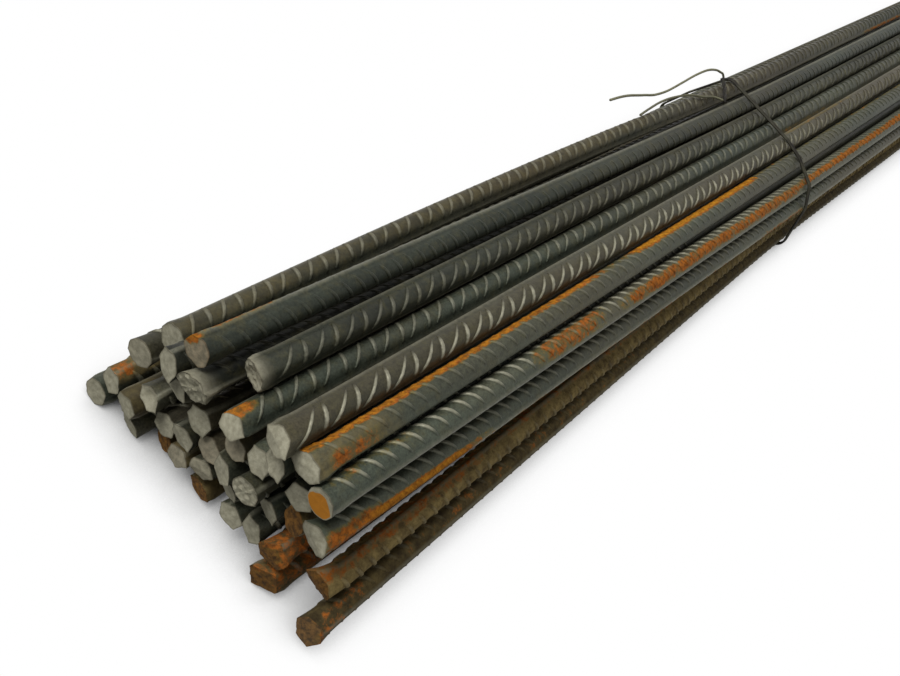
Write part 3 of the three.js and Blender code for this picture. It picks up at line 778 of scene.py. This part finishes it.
# %% Broken steel
def broken_face(tree, noise, middle, dirt, paint):
    """Colour of a sheared face: dark at the rim, pale and mottled within, dirty or painted."""
    mottle = add(tree, "MapRange", {}, {"Value": noise["crumb"], "From Min": 0.35,
                                        "From Max": 0.65})
    pale = add(tree, "Mix", RGBA, {SHARE: mottle, FROM: srgb("#8d8975"), TO: srgb("#a9a590")}, OUT)
    shade = add(tree, "MapRange", {}, {"Value": noise["cloud"], "From Min": 0.35, "From Max": 0.65,
                                       "To Min": 0.68, "To Max": 1.08})
    pale = add(tree, "Mix", FILTER, {SHARE: 1.0, FROM: pale, TO: shade}, OUT)
    earth = add(tree, "Mix", RGBA, {SHARE: mottle, FROM: srgb("#3a2812"), TO: srgb("#7a5526")}, OUT)
    within = add(tree, "MapRange", {}, {"Value": middle, "From Min": 0.0, "From Max": 0.12,
                                        "To Min": 0.35, "To Max": 1.0})
    face = add(tree, "Mix", RGBA, {SHARE: within, FROM: srgb("#4a4536"), TO: pale}, OUT)
    face = add(tree, "Mix", RGBA, {SHARE: dirt, FROM: face, TO: earth}, OUT)
    painted = add(tree, "MapRange", {}, {"Value": middle, "From Min": 0.3, "From Max": 0.38})
    painted = add(tree, "Math", TIMES, {0: painted, 1: paint})
    return add(tree, "Mix", RGBA, {SHARE: painted, FROM: face, TO: srgb("#a2691d")}, OUT)


# %% Rust
def rust_dust(tree, noise, orange, brown, below):
    """Colour below with rust on it, and how much dust there is.

    Dust lies where the streak's amount plus crumbly noise passes a level: red-brown where it
    is thin, yellow where it lies thick. Olive stain reaches a little farther out over scale.
    """
    rough = add(tree, "Math", TIMES_PLUS, {0: noise["blotch"], 1: 1.3, 2: -1.0})
    rough = add(tree, "Math", TIMES_PLUS, {0: noise["crumb"], 1: 0.7, 2: rough})
    amount = add(tree, "Math", PLUS, {0: orange, 1: rough})
    near = add(tree, "MapRange", {}, {"Value": orange, "From Min": 0.0, "From Max": 0.25})
    dust = add(tree, "MapRange", {}, {"Value": amount, "From Min": 0.36, "From Max": 0.62})
    dust = add(tree, "Math", TIMES, {0: dust, 1: near})
    stain = add(tree, "MapRange", {}, {"Value": amount, "From Min": 0.1, "From Max": 0.4,
                                       "To Max": 0.6})
    stain = add(tree, "Math", TIMES, {0: stain, 1: near})
    stain = add(tree, "Mix", FLOAT, {SHARE: brown, LOW: stain, HIGH: 0.0})
    crumbs = add(tree, "MapRange", {}, {"Value": noise["crumb"], "From Min": 0.32,
                                        "From Max": 0.62})
    thick = add(tree, "MapRange", {}, {"Value": orange, "From Min": 0.55, "From Max": 0.95})
    dark = add(tree, "Mix", RGBA, {SHARE: thick, FROM: srgb("#5a300e"), TO: srgb("#7d4a0a")}, OUT)
    light = add(tree, "Mix", RGBA, {SHARE: thick, FROM: srgb("#a55e20"), TO: srgb("#bb801c")}, OUT)
    ochre = add(tree, "Mix", RGBA, {SHARE: crumbs, FROM: dark, TO: light}, OUT)
    specks = add(tree, "MapRange", {}, {"Value": noise["grain"], "From Min": 0.6, "From Max": 0.72,
                                        "To Max": 0.6})
    ochre = add(tree, "Mix", RGBA, {SHARE: specks, FROM: ochre, TO: srgb("#52290f")}, OUT)
    stained = add(tree, "Mix", RGBA, {SHARE: stain, FROM: below, TO: srgb("#6b5f26")}, OUT)
    return add(tree, "Mix", RGBA, {SHARE: dust, FROM: stained, TO: ochre}, OUT), dust


# %% Steel
def steel_material():
    """Hot-rolled steel whose finish follows the state and finish attributes of its points."""
    material, tree, skin = new_material("hot_rolled_steel_with_mill_scale")
    noise = patterns(tree)
    channels = []
    for layer in ("state", "finish"):
        colour = add(tree, "VertexColor", {"layer_name": layer}, {}, "Color")
        red = add(tree, "SeparateColor", {}, {"Color": colour})
        channels.append([*red.node.outputs[:3], colour.node.outputs["Alpha"]])
    (wear, cut, orange, brown), (tone, dirt, paint, tint) = channels

    worn = scale_and_wear(tree, noise, wear, tone, tint, brown)
    face = broken_face(tree, noise, wear, dirt, paint)
    bare = add(tree, "Mix", RGBA, {SHARE: cut, FROM: worn, TO: face}, OUT)
    rusty, dust = rust_dust(tree, noise, orange, brown, bare)
    tree.links.new(rusty, skin.inputs["Base Color"])

    # scale is a thin oxide with a faint sheen; rust, crust and broken faces are matte
    matte = add(tree, "Math", MOST, {0: dust, 1: add(tree, "Math", MOST, {0: brown, 1: cut})})
    metal = add(tree, "MapRange", {}, {"Value": matte, "To Min": 0.3, "To Max": 0.0})
    rough = add(tree, "MapRange", {}, {"Value": noise["grain"], "From Min": 0.3, "From Max": 0.7,
                                       "To Min": 0.42, "To Max": 0.62})
    tree.links.new(metal, skin.inputs["Metallic"])
    rough = add(tree, "Mix", FLOAT, {SHARE: matte, LOW: rough, HIGH: 0.85})
    tree.links.new(rough, skin.inputs["Roughness"])
    skin.inputs["Specular IOR Level"].default_value = 0.2

    fine = add(tree, "Math", TIMES, {0: noise["grain"], 1: 0.3})
    deep = add(tree, "Mix", FLOAT, {SHARE: matte, LOW: 0.25, HIGH: 0.75})
    deep = add(tree, "Mix", FLOAT, {SHARE: cut, LOW: deep, HIGH: 0.3})
    crumbly = add(tree, "Math", PLUS, {0: noise["crumb"], 1: noise["blotch"]})
    height = add(tree, "Math", TIMES_PLUS, {0: crumbly, 1: deep, 2: fine})
    bump = add(tree, "Bump", {}, {"Height": height, "Strength": 0.6, "Distance": 0.35 * MM})
    tree.links.new(bump, skin.inputs["Normal"])
    return material


steel = steel_material()
print(len(steel.node_tree.nodes), "nodes in the steel")

# %% Make the forty bars
pieces = []
for short, bar in bars.items():
    bar["near"], bar["far"] = NEAR_ENDS[short], far_end(bar["index"])
    piece = make_bar(short, steel)
    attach(piece, "root")
    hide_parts("bar_" + short)
    pieces.append(piece)
counts = [sum(len(p.vertices) - 2 for p in piece.data.polygons) for piece in pieces]
print(len(pieces), "bars,", sum(counts), "triangles, at most", max(counts), "in one")

# %% [markdown]
# ## Tying wire
# Tying wire is annealed, so that a hand can twist it, and the furnace leaves it black and dull.
# Hands and rough bars rub it grey. One dark colour all over would look like plastic. A number
# at each point tells how much it was handled, and noise breaks that up into patches.

# %% Annealed wire
def wire_material():
    """Black annealed wire: a dull dark oxide, handled to olive grey where its rub is 1."""
    material, tree, skin = new_material("black_annealed_tying_wire")
    where = add(tree, "TexCoord", {}, {}, "Object")
    # patches about 8 mm across, and a grain drawn about 1 mm across so that it shows
    patches = add(tree, "TexNoise", {}, {"Vector": where, "Scale": 120, "Detail": 3})
    patches = add(tree, "MapRange", {}, {"Value": patches, "To Min": -0.3, "To Max": 0.3})
    rub = add(tree, "VertexColor", {"layer_name": "rub"}, {}, "Alpha")
    rub = add(tree, "Math", PLUS_TO_ONE, {0: rub, 1: patches})
    colour = add(tree, "Mix", RGBA, {SHARE: rub, FROM: srgb("#1c1914"), TO: srgb("#7d7b62")}, OUT)
    tree.links.new(colour, skin.inputs["Base Color"])
    grain = add(tree, "TexNoise", {}, {"Vector": where, "Scale": 900, "Detail": 2})
    tree.links.new(add(tree, "Bump", {}, {"Height": grain, "Strength": 0.3, "Distance": 0.1 * MM}),
                   skin.inputs["Normal"])
    skin.inputs["Metallic"].default_value = 0.2
    skin.inputs["Roughness"].default_value = 0.65
    skin.inputs["Specular IOR Level"].default_value = 0.25
    return material


wire = wire_material()
print(len(wire.node_tree.nodes), "nodes in the wire")

# %% [markdown]
# ## Wire ties
# Each tie is a length of soft annealed wire: two turns round the bundle, its ends twisted
# together, and the tails left loose. The turns hug the outer bars. The line they follow is the
# bundle's outline seen along its length, found by asking which bar lies farthest each way. A
# Curve with a bevel could draw the wire. Rings of points do the same, and let each stretch
# carry how much it was handled.

# %% A line round the bundle
WIRE_R = 0.8 * MM


def girth(x, away, knot):
    """Closed line round all bars at x: bar centre farthest along n, plus away times n.

    n runs round the circle in steps of 6 degrees, and a wire's radius above the floor is as
    low as the line goes. It starts next to the knot. Returns (y, z) and run length.
    """
    centres = np.stack([bar["at"](x) for bar in bars.values()])
    angle = np.radians(np.arange(0, 360, 6))
    n = np.stack([np.cos(angle), np.sin(angle)], axis=1)
    line = centres[np.argmax(n @ centres.T, axis=1)] + away * n
    line[:, 1] = np.maximum(line[:, 1], WIRE_R)
    line = np.roll(line, -int(np.argmin(np.hypot(*(line - knot).T))), axis=0)
    line = np.concatenate([line, line[:1]])
    run = np.concatenate([[0], np.cumsum(np.hypot(*np.diff(line, axis=0).T))])
    return line, run


# %% A smooth line through points
def smooth_line(points, step):
    """Curve through points: Hermite pieces over the chord length, tangents by differences."""
    points = np.asarray(points, float)
    t = np.concatenate([[0], np.cumsum(np.linalg.norm(np.diff(points, axis=0), axis=1))])
    slope = np.gradient(points, t, axis=0)
    s = np.linspace(0, t[-1], max(4, int(t[-1] / step)))
    k = np.clip(np.searchsorted(t, s, side="right") - 1, 0, len(t) - 2)
    h = (t[k + 1] - t[k])[:, None]
    u = (s - t[k])[:, None] / h
    return ((2 * u ** 3 - 3 * u ** 2 + 1) * points[k] + (u ** 3 - 2 * u ** 2 + u) * h * slope[k]
            + (3 * u ** 2 - 2 * u ** 3) * points[k + 1] + (u ** 3 - u ** 2) * h * slope[k + 1])


# %% Tube of the wire
WIRE_SIDES = 8


def wire_tube(path, reference):
    """Round tube along a path: circle in the plane of side and up, side at right angles to
    the path and nearest to the reference. Both ends close on a middle point."""
    ahead = np.gradient(path, axis=0)
    ahead /= np.linalg.norm(ahead, axis=1)[:, None]
    side = reference - ahead * (ahead @ reference)[:, None]
    side /= np.linalg.norm(side, axis=1)[:, None]
    up = np.cross(ahead, side)
    a = 2 * np.pi * np.arange(WIRE_SIDES) / WIRE_SIDES
    circle = np.cos(a)[None, :, None] * side[:, None] + np.sin(a)[None, :, None] * up[:, None]
    rings = path[:, None] + WIRE_R * circle
    n = len(path)
    points = np.concatenate([rings.reshape(-1, 3), path[:1], path[-1:]])
    ring = np.arange(WIRE_SIDES)
    nxt = (ring + 1) % WIRE_SIDES
    near = np.stack([nxt, ring, np.full(WIRE_SIDES, n * WIRE_SIDES)], axis=1)
    last = (n - 1) * WIRE_SIDES
    far = np.stack([last + ring, last + nxt, np.full(WIRE_SIDES, n * WIRE_SIDES + 1)], axis=1)
    return points, tube_faces(n, WIRE_SIDES), np.concatenate([near, far])


# %% One tie
ALONG, UPWARD = np.array([1.0, 0, 0]), np.array([0, 0, 1.0])
WIRE_GAP = 0.35 * MM
TURN_STEP = 2.3 * MM       # the two turns lie this far apart
TWIST_R = 1.2 * MM
TWIST_TURNS, TWIST_POINTS = 2, 25
TWIST_START = 0.5 * MM     # from the knot, along the bundle's outline
TWIST_CLEAR = 0.6 * MM     # how far the pair is held off the bars
TIE_BAR_R = 6.62 * MM      # a bar's reach at its lengthwise ribs
TAIL_FOOT = 0.6            # a tail leaves the knot this share of the way aside to the pair


def wire_tie(name, x, knot, aside, lean, twist_length, tail_from_knot, tail_from_twist, material):
    """Two turns, a twisted pair over the bars and two tails, as one mesh.

    The pair starts aside of the turns and runs along an axis over the bars, leaning along
    them: strand = axis + R (cos a, sin a / 2, sin a). The tails are handled palest.
    """
    snug, run = girth(x, TIE_BAR_R + WIRE_GAP + WIRE_R, knot)
    turns = [np.column_stack([x + TURN_STEP * (turn + run / run[-1] - 1), snug]) for turn in (0, 1)]
    turns = np.concatenate([turns[0][:-1], turns[1]])
    over, over_run = girth(x, TIE_BAR_R + WIRE_GAP + 2 * WIRE_R + TWIST_R, knot)
    t = np.linspace(0, 1, TWIST_POINTS)
    reach = TWIST_START + t * twist_length
    axis = np.column_stack([x + aside + lean * t, np.interp(reach, over_run, over[:, 0]),
                            np.interp(reach, over_run, over[:, 1]) + TWIST_CLEAR])
    strands = []
    for phase in (0, np.pi):
        a = phase + t * TWIST_TURNS * 2 * np.pi
        strands.append(axis + TWIST_R * np.column_stack([np.cos(a), 0.5 * np.sin(a), np.sin(a)]))
    foot = np.array([0, *snug[0]])
    one = np.concatenate([[foot + [x - TURN_STEP, 0, 0]], strands[0]])
    two = np.concatenate([[foot + [x + TURN_STEP, 0, 0]], strands[1]])
    tail_a = smooth_line([foot + [x + TAIL_FOOT * aside, 0, 0], *tail_from_knot], 2 * MM)
    tail_b = smooth_line([one[-2], one[-1], *tail_from_twist], 3 * MM)
    points, faces, rub, count = [], [], [], 0
    for path, reference, handled in ((turns, ALONG, 0.1), (one, ALONG, 0), (two, ALONG, 0),
                                     (tail_a, UPWARD, 0.9), (tail_b, UPWARD, 0.6)):
        part, sides, caps = wire_tube(path, reference)
        points.append(part)
        faces += [sides + count, caps + count]
        rub.append(np.full((len(part), 4), handled))
        count += len(part)
    return build(name, np.concatenate(points), faces, {"rub": np.concatenate(rub)}, material)


# %% The two ties
SHIFT = np.array([1.14, 3.02, 0.0])        # mm from the wire's own places to the frame's
TIE_AT = 485                               # mm, the wire's own place for a tie


def tail(*places):
    """Tail points in the frame, from the wire's own mm."""
    return [(np.array(place) + SHIFT) * MM for place in places]


NEAR_TIE_X, FAR_TIE_X = (-TIE_AT + SHIFT[0]) * MM, (TIE_AT + SHIFT[0]) * MM
near_knot = bars["upper_1"]["at"](NEAR_TIE_X) + np.array([5, 6]) * MM
far_knot = bars["top_2"]["at"](FAR_TIE_X) + np.array([0, 8]) * MM
near_tie = wire_tie(
    "near_wire_tie", NEAR_TIE_X, near_knot, aside=-12 * MM, lean=-27 * MM, twist_length=18 * MM,
    tail_from_knot=tail((-493.5, 44.5, 73), (-503.4, 46, 77.8), (-513.8, 47, 81.2),
                        (-523.1, 48.5, 82.1), (-537, 50, 80), (-552, 51, 75.5), (-566, 52, 71.5),
                        (-580, 53, 71), (-601, 54, 75), (-635, 56, 80.5), (-645, 57, 80)),
    tail_from_twist=tail((-522, 32, 71), (-537, 36.5, 72), (-551, 42.5, 72), (-566, 47, 69.5),
                         (-580, 47.5, 69.5), (-600, 46.2, 69.5), (-615, 44.3, 70.8)),
    material=wire)
far_tie = wire_tie(
    "far_wire_tie", FAR_TIE_X, far_knot, aside=0, lean=14 * MM, twist_length=15 * MM,
    tail_from_knot=tail((490, 14, 74), (508, 20, 84), (535, 26, 85), (562, 30, 80)),
    tail_from_twist=tail((509, -8, 77), (528, -14, 82), (552, -20, 80)),
    material=wire)
for piece, node in ((near_tie, "tie_near"), (far_tie, "tie_far")):
    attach(piece, "root")
    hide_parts(node)
    print(piece.name, len(piece.data.polygons), "faces")

# %% [markdown]
# ## Floor and light
# The bundle lies on a pale floor. The floor takes the bars' shade close by, and plain white
# away from them keeps it pale to the eye without putting more light on the steel. The light is
# a pale sky all round and one large lamp high up behind the viewer's shoulder.

# %% What the eye sees
def seen_by_eye(tree):
    """1 for camera, mirror and glass rays, which see the plain background; 0 for light."""
    ray = add(tree, "LightPath", {}, {}).node.outputs
    mirrored = add(tree, "Math", MOST, {0: ray["Is Glossy Ray"], 1: ray["Is Transmission Ray"]})
    return add(tree, "Math", MOST, {0: ray["Is Camera Ray"], 1: mirrored})


# %% Floor
FLOOR_SIZE = 12.0
SHADE_REACH = 0.035        # m: how far the bundle's shade reaches over the floor


def floor_material():
    """Diffuse floor that is plain white to the eye, apart from where the bundle shades it."""
    material, tree, skin = new_material("pale_floor")
    skin.inputs["Base Color"].default_value = srgb("#80807d")
    skin.inputs["Roughness"].default_value = 0.9
    skin.inputs["Specular IOR Level"].default_value = 0.1
    white = add(tree, "Emission", {}, {"Color": (1, 1, 1, 1), "Strength": 1.0})
    open_sky = add(tree, "AmbientOcclusion", {"samples": 12}, {"Distance": SHADE_REACH}, "AO")
    lit = add(tree, "MapRange", {}, {"Value": open_sky, "From Min": 0.1, "From Max": 0.8})
    share = add(tree, "Math", TIMES, {0: seen_by_eye(tree), 1: lit})
    surface = add(tree, "MixShader", {}, {0: share, 1: skin.outputs["BSDF"], 2: white})
    tree.links.new(surface, tree.nodes["Material Output"].inputs["Surface"])
    return material


bpy.ops.mesh.primitive_plane_add(size=FLOOR_SIZE, location=(0, 0, 0))
floor = bpy.context.object
floor.name = "floor"
floor.data.materials.append(floor_material())
print("floor", FLOOR_SIZE, "m across")

# %% Sky
SKY = 0.25


def make_world():
    """Grey-white sky for light, plain white where the camera or a mirror looks past the floor."""
    world = bpy.data.worlds.new("soft_sky")
    bpy.context.scene.world = world
    world.use_nodes = True
    tree = world.node_tree
    strength = add(tree, "Mix", FLOAT, {SHARE: seen_by_eye(tree), LOW: SKY, HIGH: 1.0})
    tree.links.new(strength, tree.nodes["Background"].inputs["Strength"])
    tree.nodes["Background"].inputs["Color"].default_value = (1, 1, 1, 1)


make_world()
print("sky", SKY, "of white")


# %% Lamp
def lamp(name, at, aim, size, watts):
    """Round area lamp at a place, turned to a point."""
    data = bpy.data.lights.new(name, "AREA")
    data.shape, data.size, data.energy = "DISK", size, watts
    light = bpy.data.objects.new(name, data)
    at, aim = Vector(at), Vector(aim)
    turn = (at - aim).to_track_quat("Z", "Y").to_matrix().to_4x4()
    light.matrix_world = Matrix.Translation(at) @ turn
    bpy.context.scene.collection.objects.link(light)


lamp("over_the_shoulder", at=(-2.5, 1.25, 3.5), aim=(-0.8, 0, 0), size=2.4, watts=148)
view = bpy.context.scene.view_settings
view.view_transform = "Standard"
print("view transform", view.view_transform)
